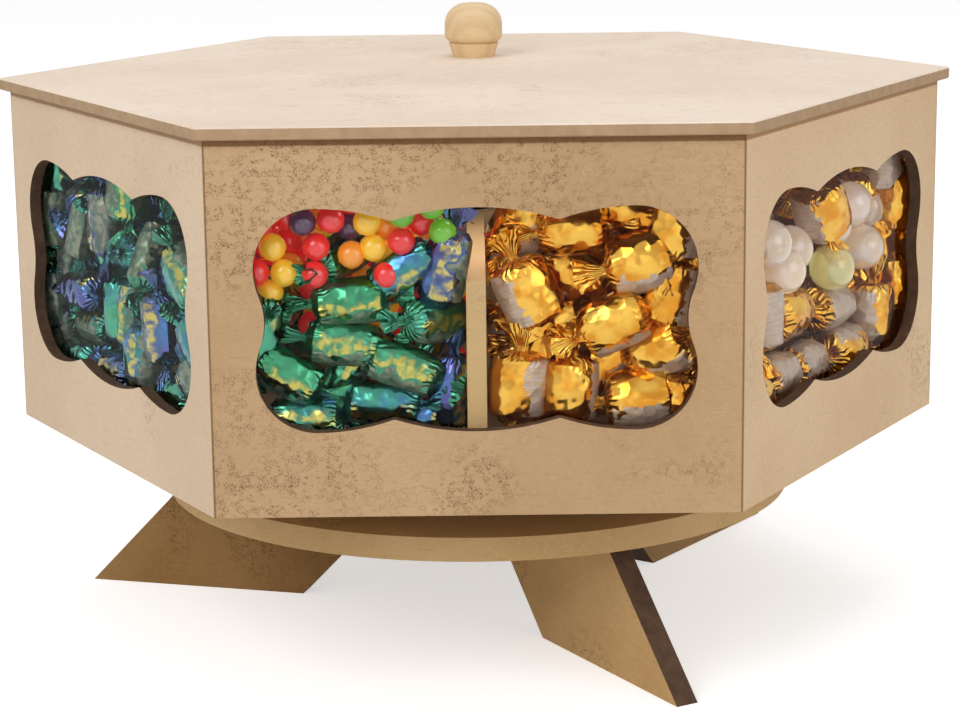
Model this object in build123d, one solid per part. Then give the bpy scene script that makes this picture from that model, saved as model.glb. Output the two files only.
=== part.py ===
from build123d import *
from math import acos, atan, atan2, cos, degrees, radians, sin, tan
import os

# Rotating six-sided candy holder made of fibreboard, in millimetres.
# The origin is on the floor under the turning axis, +Z is up, the front panel faces -Y
# and two corners of the box lie on the X axis.

# Box and lid
SIDES = 6
LID_RADIUS = 250.0
LID_OVERHANG = 6.0
LID_THICKNESS = 6.0
LID_ARRIS = 0.6
PANEL_THICKNESS = 6.0
PANEL_HEIGHT = 176.0
FLOOR_THICKNESS = 6.0

# Scalloped window in each panel
WINDOW_WIDTH = 202.0
WINDOW_HEIGHT = 104.0
WINDOW_TOP_MARGIN = 32.0
WINDOW_CORNER_RADIUS = 28.0
MIDDLE_LOBE_WIDTH = 76.0
LOBE_DEPTH = 6.0
WAIST_DEPTH = 4.5
CUSP_ROUNDING = 3.0

# Clear sheet glued behind each window
SHEET_THICKNESS = 2.0
SHEET_MARGIN = 7.0
SHEET_CORNER = 4.0

# Three dividers that meet on the axis
DIVIDER_THICKNESS = 9.0
DIVIDER_HEIGHT = 102.0
DIVIDER_CLEARANCE = 0.3

# Second board under the lid, which drops inside the box and keeps the lid in place
LOCATING_THICKNESS = 3.0
LOCATING_CLEARANCE = 1.5

# Turned knob, set back from the middle of the lid, its radii from the lid upwards
KNOB_SETBACK = 84.0
KNOB_HEIGHT = 29.8
KNOB_FOOT_HEIGHT = 7.6
KNOB_FOOT_RADIUS = 11.5
KNOB_COLLAR_RADIUS = 13.8
KNOB_NECK_RADIUS = 12.7
KNOB_RADIUS = 16.0
KNOB_NECK_WIDTH = 0.6
KNOB_UNDERSIDE_RADIUS = 4.5
KNOB_BAND_HEIGHT = 5.2
KNOB_SHOULDER_RADIUS = 11.8

# Round disc on three splayed legs
DISC_RADIUS = 166.0
DISC_THICKNESS = 12.0
LEG_HEIGHT = 65.0
LEG_THICKNESS = 12.0
LEG_LENGTH = 123.0
LEG_SPLAY = 43.7
LEG_SETBACK = 13.6
# Direction of each leg in degrees from +X, and how far it stands to the left of that line
LEG_ANGLES = {"leg_front_right": -60.1, "leg_back_right": 55.3, "leg_left": 164.8}
LEG_SHIFTS = {"leg_front_right": -9.5, "leg_back_right": -50.0, "leg_left": 25.2}

# Spacer under the box and the ball bearing between it and the disc
PAD_RADIUS = 100.0
PAD_THICKNESS = 12.0
BEARING_HEIGHT = 12.0
BEARING_STEP = 1.0
BALL_CIRCLE_RADIUS = 70.0
BALL_RADIUS = 3.0
BALL_COUNT = 9
BALL_CLEARANCE = 0.06
RACE_GAP = 1.6
RACE_WALL = 5.2
FLANGE_WIDTH = 14.0
FLANGE_THICKNESS = 3.5
CAGE_THICKNESS = 1.0
CAGE_HEIGHT = 8.4

# Countersunk screws: head radius, shank radius and length
BEARING_SCREW = (3.4, 1.6, 11.0)
PAD_SCREW = (3.6, 1.75, 15.0)
LEG_SCREW = (3.6, 1.75, 40.0)
KNOB_SCREW = (3.8, 2.0, 24.0)
SCREW_CLEARANCE = 0.1
BEARING_SCREW_COUNT = 3
PAD_SCREW_COUNT = 3
PAD_SCREW_INSET = 26.0
LEG_SCREW_INSETS = (12.0, 46.0)

# Heights of the stack, from the floor upwards
DISC_Z = LEG_HEIGHT
BEARING_Z = DISC_Z + DISC_THICKNESS
PAD_Z = BEARING_Z + BEARING_HEIGHT
BOX_Z = PAD_Z + PAD_THICKNESS
LID_Z = BOX_Z + PANEL_HEIGHT
KNOB_Z = LID_Z + LID_THICKNESS
WINDOW_Z = LID_Z - WINDOW_TOP_MARGIN - WINDOW_HEIGHT / 2

# Plan sizes of the regular box
HALF_SIDE = 180.0 / SIDES
PANEL_APOTHEM = (LID_RADIUS - LID_OVERHANG) * cos(radians(HALF_SIDE))
INNER_APOTHEM = PANEL_APOTHEM - PANEL_THICKNESS
RACE_RADII = (BALL_CIRCLE_RADIUS - RACE_GAP / 2, BALL_CIRCLE_RADIUS + RACE_GAP / 2)

PANEL_SIDES = ("front", "front_right", "back_right", "back", "back_left", "front_left")
DIVIDER_SIDES = ("front", "back_right", "back_left")


def turned(shape, azimuth):
    """The shape turned about the vertical axis."""
    return Rot(0, 0, azimuth) * shape


def ring_of(shape, count, start=0.0):
    """Copies of a shape, spaced evenly about the vertical axis."""
    return [turned(shape, start + 360.0 * step / count) for step in range(count)]


def azimuth_of(side):
    """Direction that a side of the box faces, in degrees from +X; the front faces -Y."""
    return -90.0 + 2 * HALF_SIDE * PANEL_SIDES.index(side)


def regular_board(apothem, bottom, thickness):
    """Six-sided board with a corner on +X, measured across its flats."""
    corner = apothem / cos(radians(HALF_SIDE))
    return Pos(0, 0, bottom) * extrude(RegularPolygon(corner, SIDES), thickness)


def round_board(radius, bottom, thickness):
    return Pos(0, 0, bottom) * extrude(Circle(radius), thickness)


def screw(size, slack=0.0, above=0.0):
    """Countersunk screw that points down, its head flush at z = 0, or the hole for it."""
    head, shank, length = size
    outline = Polyline(
        (0, above),
        (head + slack + above, above),
        (shank + slack, shank - head),
        (shank + slack, -length - slack),
        (0, -length - slack),
        close=True,
    )
    return revolve(Plane.XZ * make_face(outline), Axis.Z)


def screw_hole(size):
    """Countersunk hole and pilot bore, a little larger than the screw."""
    return screw(size, SCREW_CLEARANCE, 1.0)


def window_face():
    """Outline of three lobes above and three below, drawn in one quarter and mirrored."""
    half_width = WINDOW_WIDTH / 2
    half_height = WINDOW_HEIGHT / 2
    cusp = MIDDLE_LOBE_WIDTH / 2
    shoulder = half_width - WINDOW_CORNER_RADIUS
    shoulder_height = half_height - WINDOW_CORNER_RADIUS
    lobe_run = shoulder - cusp
    lobe_radius = (lobe_run**2 + LOBE_DEPTH**2) / (2 * LOBE_DEPTH)
    middle_radius = (cusp**2 + LOBE_DEPTH**2) / (2 * LOBE_DEPTH)
    lobe_sweep = 2 * degrees(atan(LOBE_DEPTH / lobe_run))
    middle_sweep = 2 * degrees(atan(LOBE_DEPTH / cusp))
    waist_sweep = 2 * degrees(atan(WAIST_DEPTH / shoulder_height))
    waist_radius = shoulder_height / 2 / sin(radians(waist_sweep))
    corner = CenterArc((shoulder, shoulder_height), WINDOW_CORNER_RADIUS, 0, 90)
    lobe = JernArc((shoulder, half_height), (-1, 0), lobe_radius, lobe_sweep)
    middle = JernArc((0, half_height), (1, 0), middle_radius, -middle_sweep)
    side_out = JernArc((half_width, shoulder_height), (0, -1), waist_radius, -waist_sweep)
    side_in = JernArc(side_out @ 1, side_out % 1, waist_radius, waist_sweep)
    quarter = [middle, lobe, corner, side_out, side_in]
    right_half = quarter + [mirror(edge, about=Plane.XZ) for edge in quarter]
    outline = right_half + [mirror(edge, about=Plane.YZ) for edge in right_half]
    face = make_face(outline)
    cusps = [point for point in face.vertices() if abs(abs(point.X) - cusp) < 1e-3]
    return fillet(cusps, CUSP_ROUNDING)


def side_panel():
    """Panel that faces +X, mitred at both ends, with the window cut through."""
    inner = INNER_APOTHEM * tan(radians(HALF_SIDE))
    outer = PANEL_APOTHEM * tan(radians(HALF_SIDE))
    plan = Polygon(
        (INNER_APOTHEM, -inner),
        (PANEL_APOTHEM, -outer),
        (PANEL_APOTHEM, outer),
        (INNER_APOTHEM, inner),
        align=None,
    )
    board = Pos(0, 0, BOX_Z) * extrude(plan, PANEL_HEIGHT)
    cut_plane = Plane.YZ.offset(INNER_APOTHEM - PANEL_THICKNESS)
    window = extrude(cut_plane * Pos(0, WINDOW_Z) * window_face(), 3 * PANEL_THICKNESS)
    return board - window


def window_sheet():
    """Clear sheet that covers the window from inside, flat against its panel."""
    outline = RectangleRounded(
        WINDOW_WIDTH + 2 * SHEET_MARGIN, WINDOW_HEIGHT + 2 * SHEET_MARGIN, SHEET_CORNER
    )
    back_plane = Plane.YZ.offset(INNER_APOTHEM - SHEET_THICKNESS)
    return extrude(back_plane * Pos(0, WINDOW_Z) * outline, SHEET_THICKNESS)


def divider():
    """Upright board along +X: pointed where three meet, notched round the clear sheet."""
    half = DIVIDER_THICKNESS / 2
    point = half / tan(radians(180.0 / len(DIVIDER_SIDES)))
    plan = Polygon(
        (0, 0), (point, -half), (INNER_APOTHEM, -half), (INNER_APOTHEM, half), (point, half), align=None
    )
    base = BOX_Z + FLOOR_THICKNESS
    board = Pos(0, 0, base) * extrude(plan, DIVIDER_HEIGHT)
    sheet_bottom = WINDOW_Z - WINDOW_HEIGHT / 2 - SHEET_MARGIN
    notch_bottom = max(sheet_bottom - DIVIDER_CLEARANCE, base)
    notch_depth = SHEET_THICKNESS + DIVIDER_CLEARANCE
    notch = Pos(INNER_APOTHEM - notch_depth, 0, notch_bottom) * Box(
        2 * notch_depth,
        2 * DIVIDER_THICKNESS,
        DIVIDER_HEIGHT + PANEL_HEIGHT,
        align=(Align.MIN, Align.CENTER, Align.MIN),
    )
    return board - notch


def box_floor():
    board = regular_board(INNER_APOTHEM, BOX_Z, FLOOR_THICKNESS)
    return board - [Pos(0, 0, FLOOR_THICKNESS) * hole for hole in pad_screws(screw_hole)]


def pad_screws(shape=screw):
    """Screws down through the box floor into the pad, clear of the dividers."""
    place = Pos(PAD_RADIUS - PAD_SCREW_INSET, 0, BOX_Z)
    return ring_of(place * shape(PAD_SCREW), PAD_SCREW_COUNT, -HALF_SIDE)


def spacer_pad():
    board = round_board(PAD_RADIUS, PAD_Z, PAD_THICKNESS)
    from_floor = [Pos(0, 0, FLOOR_THICKNESS) * hole for hole in pad_screws(screw_hole)]
    return board - from_floor - upper_ring_screws(screw_hole)


def race_groove(bottom):
    """Square channel on its corner, shared by both rings: a vee-shaped race in each."""
    width = 2 * (BALL_RADIUS + BALL_CLEARANCE)
    section = Plane.XZ * Pos(BALL_CIRCLE_RADIUS, bottom + BEARING_HEIGHT / 2) * Rot(0, 0, 45)
    return revolve(section * Rectangle(width, width), Axis.Z)


def flanged_ring(race_radius, outward):
    """Bearing ring with its flange at the bottom, outside or inside its race wall."""
    wall_radius = race_radius + outward * RACE_WALL
    flange_radius = wall_radius + outward * FLANGE_WIDTH
    ring_height = BEARING_HEIGHT - BEARING_STEP
    outline = Polyline(
        (race_radius, 0),
        (flange_radius, 0),
        (flange_radius, FLANGE_THICKNESS),
        (wall_radius, FLANGE_THICKNESS),
        (wall_radius, ring_height),
        (race_radius, ring_height),
        close=True,
    )
    return revolve(Plane.XZ * make_face(outline), Axis.Z)


def flange_screws(race_radius, outward, shape):
    """Screws down through a flange that lies at z = 0, on its middle circle."""
    radius = race_radius + outward * (RACE_WALL + FLANGE_WIDTH / 2)
    place = Pos(radius, 0, FLANGE_THICKNESS)
    return ring_of(place * shape(BEARING_SCREW), BEARING_SCREW_COUNT, HALF_SIDE)


def lower_ring_screws(shape=screw):
    """Screws that hold the outer ring down on the disc."""
    return [Pos(0, 0, BEARING_Z) * one for one in flange_screws(RACE_RADII[1], 1, shape)]


def upper_ring_screws(shape=screw):
    """Screws that hold the inner ring up against the pad, their heads below."""
    upside_down = Pos(0, 0, PAD_Z) * Rot(180, 0, 0)
    return [upside_down * one for one in flange_screws(RACE_RADII[0], -1, shape)]


def bearing_outer_ring():
    ring = Pos(0, 0, BEARING_Z) * flanged_ring(RACE_RADII[1], 1)
    return ring - race_groove(BEARING_Z) - lower_ring_screws(screw_hole)


def bearing_inner_ring():
    ring = Pos(0, 0, PAD_Z) * Rot(180, 0, 0) * flanged_ring(RACE_RADII[0], -1)
    return ring - race_groove(BEARING_Z) - upper_ring_screws(screw_hole)


def bearing_balls():
    place = Pos(BALL_CIRCLE_RADIUS, 0, BEARING_Z + BEARING_HEIGHT / 2)
    return ring_of(place * Sphere(BALL_RADIUS), BALL_COUNT)


def bearing_cage():
    """Thin ring between the races, with a square pocket for each ball."""
    half = CAGE_THICKNESS / 2
    middle = BEARING_Z + BEARING_HEIGHT / 2
    band = Circle(BALL_CIRCLE_RADIUS + half) - Circle(BALL_CIRCLE_RADIUS - half)
    ring = Pos(0, 0, middle - CAGE_HEIGHT / 2) * extrude(band, CAGE_HEIGHT)
    width = 2 * (BALL_RADIUS + BALL_CLEARANCE)
    pocket = Pos(BALL_CIRCLE_RADIUS, 0, middle) * Box(4 * CAGE_THICKNESS, width, width)
    return ring - ring_of(pocket, BALL_COUNT)


def leg_top_outer():
    """Distance from the axis, along the leg, of the outer end of its top."""
    return DISC_RADIUS - LEG_SETBACK


def placed_leg(shape, name):
    """A shape drawn along +X, moved to one leg's direction and side shift."""
    direction, shift = LEG_ANGLES[name], LEG_SHIFTS[name]
    return turned(Pos(0, shift, 0) * shape, direction)


def leg():
    """Upright board along +X, a parallelogram that leans outwards to its foot."""
    lean = LEG_HEIGHT * tan(radians(LEG_SPLAY))
    top_outer = leg_top_outer()
    outline = Polygon(
        (top_outer - LEG_LENGTH, LEG_HEIGHT),
        (top_outer + lean - LEG_LENGTH, 0),
        (top_outer + lean, 0),
        (top_outer, LEG_HEIGHT),
        align=None,
    )
    board = extrude(Plane.XZ * outline, LEG_THICKNESS / 2, both=True)
    return board - leg_screws(screw_hole)


def leg_screws(shape=screw):
    """Long screws down through the disc into the top of one leg."""
    radii = [leg_top_outer() - inset for inset in LEG_SCREW_INSETS]
    return [Pos(radius, 0, BEARING_Z) * shape(LEG_SCREW) for radius in radii]


def all_leg_screws(shape=screw):
    return [placed_leg(one, name) for name in LEG_ANGLES for one in leg_screws(shape)]


def support_disc():
    board = round_board(DISC_RADIUS, DISC_Z, DISC_THICKNESS)
    return board - lower_ring_screws(screw_hole) - all_leg_screws(screw_hole)


def lid_board():
    board = regular_board(LID_RADIUS * cos(radians(HALF_SIDE)), LID_Z, LID_THICKNESS)
    rims = board.edges().group_by(Axis.Z)[0] + board.edges().group_by(Axis.Z)[-1]
    board = chamfer(rims, LID_ARRIS)
    return board - knob_screw(screw_hole)


def lid_locating_board():
    apothem = INNER_APOTHEM - LOCATING_CLEARANCE
    board = regular_board(apothem, LID_Z - LOCATING_THICKNESS, LOCATING_THICKNESS)
    return board - knob_screw(screw_hole)


def knob_screw(shape=screw):
    """Screw up through both lid boards into the knob."""
    return Pos(0, KNOB_SETBACK, LID_Z - LOCATING_THICKNESS) * Rot(180, 0, 0) * shape(KNOB_SCREW)


def lid_knob():
    """Turned knob: a tapered foot, a narrow neck and a rounded bun with a flattened crown."""
    neck = KNOB_FOOT_HEIGHT + KNOB_NECK_WIDTH
    tucked = degrees(acos(1 - (KNOB_RADIUS - KNOB_NECK_RADIUS) / KNOB_UNDERSIDE_RADIUS))
    band = neck + KNOB_UNDERSIDE_RADIUS * sin(radians(tucked))
    crown = band + KNOB_BAND_HEIGHT
    foot = Polyline(
        (0, KNOB_HEIGHT),
        (0, 0),
        (KNOB_FOOT_RADIUS, 0),
        (KNOB_COLLAR_RADIUS, KNOB_FOOT_HEIGHT),
        (KNOB_NECK_RADIUS, neck),
    )
    underside_centre = (KNOB_RADIUS - KNOB_UNDERSIDE_RADIUS, band)
    underside = CenterArc(underside_centre, KNOB_UNDERSIDE_RADIUS, -tucked, tucked)
    side = Line((KNOB_RADIUS, band), (KNOB_RADIUS, crown))
    # The shoulder arc runs smoothly into a wider crown arc, whose centre is on the axis
    rise = KNOB_HEIGHT - crown
    inset = KNOB_RADIUS - KNOB_SHOULDER_RADIUS
    crown_radius = (rise**2 + inset**2 - KNOB_SHOULDER_RADIUS**2) / (2 * (rise - KNOB_SHOULDER_RADIUS))
    sweep = degrees(atan2(crown_radius - rise, inset))
    shoulder = CenterArc((inset, crown), KNOB_SHOULDER_RADIUS, 0, sweep)
    top = CenterArc((0, KNOB_HEIGHT - crown_radius), crown_radius, sweep, 90 - sweep)
    outline = foot.edges() + [underside, side, shoulder, top]
    turning = revolve(Plane.XZ * make_face(outline), Axis.Z)
    return Pos(0, KNOB_SETBACK, KNOB_Z) * turning - knob_screw(screw_hole)


def write(name, shapes):
    """One file for each named piece; a list becomes a group of separate solids."""
    shape = Compound(children=list(shapes)) if isinstance(shapes, list) else shapes
    export_step(shape, f"parts/{name}.step")


def main():
    os.makedirs("parts", exist_ok=True)
    write("support_disc", support_disc())
    for name in LEG_ANGLES:
        write(name, placed_leg(leg(), name))
    write("leg_screws", all_leg_screws())
    write("bearing_outer_ring", bearing_outer_ring())
    write("bearing_lower_screws", lower_ring_screws())
    write("bearing_cage", bearing_cage())
    write("bearing_balls", bearing_balls())
    write("bearing_inner_ring", bearing_inner_ring())
    write("bearing_upper_screws", upper_ring_screws())
    write("spacer_pad", spacer_pad())
    write("box_floor", box_floor())
    write("box_floor_screws", [Pos(0, 0, FLOOR_THICKNESS) * one for one in pad_screws()])
    for side in PANEL_SIDES:
        write(f"panel_{side}", turned(side_panel(), azimuth_of(side)))
        write(f"window_{side}", turned(window_sheet(), azimuth_of(side)))
    for side in DIVIDER_SIDES:
        write(f"divider_{side}", turned(divider(), azimuth_of(side)))
    write("lid_board", lid_board())
    write("lid_locating_board", lid_locating_board())
    write("lid_knob", lid_knob())
    write("lid_knob_screw", knob_screw())


main()
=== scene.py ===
import random
from math import atan2, cos, pi, radians, sin, tau

import bmesh
import bpy
from mathutils import Matrix, Vector


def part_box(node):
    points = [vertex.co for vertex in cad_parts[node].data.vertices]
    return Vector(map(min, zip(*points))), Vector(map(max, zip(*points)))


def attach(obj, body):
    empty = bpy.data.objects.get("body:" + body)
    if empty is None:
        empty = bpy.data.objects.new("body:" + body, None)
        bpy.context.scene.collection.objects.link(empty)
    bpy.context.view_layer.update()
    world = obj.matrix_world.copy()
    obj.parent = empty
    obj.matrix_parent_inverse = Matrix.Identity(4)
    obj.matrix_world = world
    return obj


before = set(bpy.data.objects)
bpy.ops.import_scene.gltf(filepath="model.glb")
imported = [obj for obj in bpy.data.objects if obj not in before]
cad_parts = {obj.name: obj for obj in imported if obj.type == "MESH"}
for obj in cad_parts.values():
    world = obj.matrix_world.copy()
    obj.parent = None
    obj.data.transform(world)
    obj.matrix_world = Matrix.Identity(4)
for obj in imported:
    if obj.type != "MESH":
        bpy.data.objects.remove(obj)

scene = bpy.context.scene
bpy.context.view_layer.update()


# Support disc and legs
# Raw 12 mm fibreboard, cut by laser and screwed together from above. The rim of the disc
# is sanded pale again, while the legs keep the dark scorched edges that the laser leaves.


def put(tree, kind, inputs=None, **settings):
    """Adds a shader node; each input is given a value or is linked to another output."""
    made = tree.nodes.new("ShaderNode" + kind)
    for key, value in settings.items():
        setattr(made, key, value)
    for key, value in (inputs or {}).items():
        if isinstance(value, bpy.types.NodeSocket):
            tree.links.new(value, made.inputs[key])
        else:
            made.inputs[key].default_value = value
    return made


def stain(tree, amount, under, over):
    """One colour laid over another by an amount from 0 to 1."""
    return put(tree, "Mix", {0: amount, 6: under, 7: over}, data_type="RGBA").outputs[2]


def between(tree, value, low, high):
    """0 where the value is at most low and 1 where it is at least high."""
    steps = {"Value": value, "From Min": low, "From Max": high}
    return put(tree, "MapRange", steps, interpolation_type="SMOOTHSTEP").outputs[0]


def cloud(tree, place, scale, detail=2.0, stretch=0.0):
    """Soft irregular pattern, with about one patch for each 1/scale of a metre."""
    settings = {"Vector": place, "Scale": scale, "Detail": detail, "Distortion": stretch}
    return put(tree, "TexNoise", settings).outputs[0]


def product(tree, first, second):
    return put(tree, "Math", {0: first, 1: second}, operation="MULTIPLY").outputs[0]


def scaled_sum(tree, value, factor, added):
    """The value times the factor, plus what is added."""
    return put(tree, "Math", {0: value, 1: factor, 2: added}, operation="MULTIPLY_ADD").outputs[0]


def size_of(tree, value):
    """The value without its sign."""
    return put(tree, "Math", {0: value}, operation="ABSOLUTE").outputs[0]


def ranged(tree, value, low, high):
    """The value stretched so that 0 gives low and 1 gives high."""
    return put(tree, "MapRange", {"Value": value, "To Min": low, "To Max": high}).outputs[0]


def own_place(tree):
    """Where a point lies in its piece's own measure, in metres."""
    return put(tree, "TexCoord").outputs["Object"]


def new_finish(name):
    """An empty material with its node tree and main shader."""
    finish = bpy.data.materials.new(name)
    finish.use_nodes = True
    return finish, finish.node_tree, finish.node_tree.nodes["Principled BSDF"]


SCORCHED = ((0.035, 0.017, 0.009, 1), (0.15, 0.085, 0.05, 1))
SAWN = ((0.36, 0.22, 0.12, 1), (0.52, 0.36, 0.22, 1))


def fibreboard(
    name,
    pale,
    deep,
    pits=0.5,
    start=0.0,
    broad=None,
    cut=SCORCHED,
    cut_from=0.0,
    cut_to=1.0,
    corner=0.0,
    shade_band_from=1.0,
):
    """Raw board: clouds of tone, matted fibres, dark pits in patches and darker cut edges.

    broad is the direction that the board's broad faces look in. Its other faces, between the
    two given heights, have the two tones of the cut. A glue line darkens each end of a board
    that reaches corner to either side, and above the last given height a dark band is painted
    shade for the shadow under the lid's overhang."""
    finish, tree, board = new_finish(name)
    here = put(tree, "TexCoord")
    place = put(tree, "Mapping", {0: here.outputs["Object"], "Location": (start, start * 0.7, 0)}).outputs[0]
    tone = stain(tree, between(tree, cloud(tree, place, 9, 4), 0.3, 0.7), (*pale, 1), (*deep, 1))
    fibres = cloud(tree, place, 650, 4, 1.5)
    darker = tuple(0.74 * part for part in deep)
    tone = stain(tree, product(tree, between(tree, fibres, 0.48, 0.75), 0.34), tone, (*darker, 1))
    drawn = put(tree, "Mapping", {0: place, "Scale": (1, 1, 7)}).outputs[0]
    dashes = between(tree, cloud(tree, drawn, 120, 5, 0.5), 0.54, 0.72)
    tone = stain(tree, product(tree, dashes, 0.30), tone, (*darker, 1))
    lighter = tuple(min(1.0, 1.12 * part) for part in pale)
    tufts = between(tree, cloud(tree, place, 240, 3, 2), 0.55, 0.75)
    tone = stain(tree, product(tree, tufts, 0.4), tone, (*lighter, 1))
    patches = between(tree, cloud(tree, place, 13, 4, 0.6), 0.64 - 0.23 * pits, 0.78 - 0.22 * pits)
    curls = put(tree, "Math", {0: cloud(tree, place, 700, 2.5, 0.4), 1: 0.5}, operation="SUBTRACT").outputs[0]
    curls = between(tree, size_of(tree, curls), 0.05, 0.012)
    broken = between(tree, cloud(tree, place, 310, 1), 0.46, 0.56)
    pit = product(tree, product(tree, curls, broken), patches)
    # Dark brown for the pits and glue lines, and for the painted shade band under the lid
    pit_glue_and_shade_brown = tuple(part * part * 0.62 for part in deep)
    tone = stain(tree, product(tree, pit, 0.72), tone, (*pit_glue_and_shade_brown, 1))
    if broad:
        facing = put(tree, "VectorMath", {0: here.outputs["Normal"], 1: broad}, operation="DOT_PRODUCT")
        across = size_of(tree, facing.outputs["Value"])
        height = put(tree, "SeparateXYZ", {0: here.outputs["Object"]}).outputs[2]
        above = put(tree, "Math", {0: height, 1: cut_from}, operation="GREATER_THAN").outputs[0]
        below = put(tree, "Math", {0: height, 1: cut_to}, operation="LESS_THAN").outputs[0]
        edge = put(tree, "Math", {0: across, 1: 0.8}, operation="LESS_THAN").outputs[0]
        edge = product(tree, product(tree, edge, above), below)
        tone = stain(tree, edge, tone, stain(tree, cloud(tree, place, 160, 3), *cut))
    if corner:
        along = (-broad[1], broad[0], 0)
        side = put(tree, "VectorMath", {0: here.outputs["Object"], 1: along}, operation="DOT_PRODUCT")
        side = size_of(tree, side.outputs["Value"])
        glue = product(tree, between(tree, side, corner - 0.0011, corner - 0.0003), 0.75)
        tone = stain(tree, glue, tone, (*pit_glue_and_shade_brown, 1))
        # Painted shade: a dark ragged band just below the panel's top stands for the shadow under the lid's
        # overhang
        ragged = scaled_sum(tree, cloud(tree, place, 300, 2), 0.0006, height)
        painted_lid_shade = product(tree, between(tree, ragged, shade_band_from - 0.0006, shade_band_from + 0.0004), 0.8)
        tone = stain(tree, painted_lid_shade, tone, (*pit_glue_and_shade_brown, 1))
    tree.links.new(tone, board.inputs["Base Color"])
    tree.links.new(ranged(tree, fibres, 0.68, 0.88), board.inputs["Roughness"])
    relief = put(tree, "Math", {0: fibres, 1: pit}, operation="SUBTRACT").outputs[0]
    bump = put(tree, "Bump", {"Height": relief, "Strength": 0.25, "Distance": 0.0004})
    tree.links.new(bump.outputs[0], board.inputs["Normal"])
    board.inputs["Specular IOR Level"].default_value = 0.25
    return finish


def finish_node(name, finish):
    """Gives a carried-over node its one finish."""
    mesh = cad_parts[name].data
    mesh.materials.clear()
    mesh.materials.append(finish)


def broad_side(name):
    """The level direction square to an upright board, from the spread of its own points."""
    points = [vertex.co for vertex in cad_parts[name].data.vertices]
    x0 = sum(point.x for point in points) / len(points)
    y0 = sum(point.y for point in points) / len(points)
    xx = sum((point.x - x0) ** 2 for point in points)
    yy = sum((point.y - y0) ** 2 for point in points)
    xy = sum((point.x - x0) * (point.y - y0) for point in points)
    along = 0.5 * atan2(2 * xy, xx - yy)
    return (-sin(along), cos(along), 0.0)


finish_node("support_disc", fibreboard("disc board", (0.64, 0.43, 0.21), (0.54, 0.34, 0.145), 0.4, 3.1))
# The left and back right legs are darker as painted shade, for the shadow they stand in
for leg, pale, deep, start in (
    ("leg_front_right", (0.66, 0.43, 0.195), (0.52, 0.31, 0.125), 1.3),
    ("leg_left", (0.37, 0.21, 0.08), (0.26, 0.14, 0.042), 2.2),
    ("leg_back_right", (0.46, 0.29, 0.13), (0.34, 0.20, 0.08), 4.5),
):
    finish_node(leg, fibreboard(leg + " board", pale, deep, 0.75, start, broad_side(leg)))


# Ball bearing
# Two turned aluminium rings with a vee-shaped race in each, steel balls between them and a
# moulded nylon cage. It lies in the 12 mm gap between the disc and the spacer pad.


def turned_metal(name, colour, rough, pitch):
    """Metal with the fine rings that a lathe tool leaves round the upright axis."""
    finish, tree, metal = new_finish(name)
    place = own_place(tree)
    rings = put(
        tree,
        "TexWave",
        {"Vector": place, "Scale": 1 / pitch, "Distortion": 0.4},
        wave_type="RINGS",
        rings_direction="Z",
    ).outputs["Fac"]
    dull = cloud(tree, place, 60, 3)
    darker = tuple(0.8 * part for part in colour)
    tree.links.new(stain(tree, dull, (*colour, 1), (*darker, 1)), metal.inputs["Base Color"])
    metal.inputs["Metallic"].default_value = 1.0
    tree.links.new(ranged(tree, dull, rough * 0.8, rough * 1.3), metal.inputs["Roughness"])
    bump = put(tree, "Bump", {"Height": rings, "Strength": 0.15, "Distance": 0.00005})
    tree.links.new(bump.outputs[0], metal.inputs["Normal"])
    return finish


ring_metal = turned_metal("turned aluminium", (0.72, 0.73, 0.74), 0.3, 0.004)
finish_node("bearing_outer_ring", ring_metal)
finish_node("bearing_inner_ring", ring_metal)
finish_node("bearing_balls", turned_metal("polished steel", (0.62, 0.63, 0.65), 0.1, 0.01))

nylon, tree, shader = new_finish("moulded nylon")
place = own_place(tree)
milky = stain(tree, cloud(tree, place, 70), (0.78, 0.77, 0.71, 1), (0.68, 0.67, 0.61, 1))
tree.links.new(milky, shader.inputs["Base Color"])
tree.links.new(ranged(tree, cloud(tree, place, 500), 0.38, 0.55), shader.inputs["Roughness"])
finish_node("bearing_cage", nylon)


# Screws
# Zinc-plated countersunk screws, flush with the boards and rings that they hold. The
# plating is faintly yellow and dulls in spots.

zinc, tree, shader = new_finish("yellow zinc")
spots = cloud(tree, own_place(tree), 380, 3)
plating = stain(tree, between(tree, spots, 0.4, 0.7), (0.74, 0.66, 0.44, 1), (0.55, 0.50, 0.38, 1))
tree.links.new(plating, shader.inputs["Base Color"])
shader.inputs["Metallic"].default_value = 1.0
tree.links.new(ranged(tree, spots, 0.25, 0.5), shader.inputs["Roughness"])
for screws in (
    "leg_screws",
    "bearing_lower_screws",
    "bearing_upper_screws",
    "box_floor_screws",
    "lid_knob_screw",
):
    finish_node(screws, zinc)


# Spacer pad, box floor and dividers
# More of the same raw board, unburnt: the pad hides under the box, the floor inside it, and
# the three 9 mm dividers meet on the axis and show their pale sawn ends in the windows.

finish_node("spacer_pad", fibreboard("pad board", (0.58, 0.42, 0.26), (0.48, 0.33, 0.19), 0.4, 6.2))
finish_node("box_floor", fibreboard("floor board", (0.58, 0.42, 0.26), (0.50, 0.34, 0.2), 0.4, 7.7))
for number, divider in enumerate(("divider_front", "divider_back_right", "divider_back_left")):
    board = fibreboard(divider + " board", (0.68, 0.45, 0.215), (0.60, 0.38, 0.17), 0.1, 8 + number)
    finish_node(divider, board)


# Side panels
# Six 6 mm boards mitred at the corners, each with a scalloped window. Each has its own tone,
# partly as real boards differ and partly painted light and shade on its side, and the laser
# left the window edges scorched. A dark band under the lid is painted shade.

# How far below the panel tops the painted shade band under the lid reaches
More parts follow.
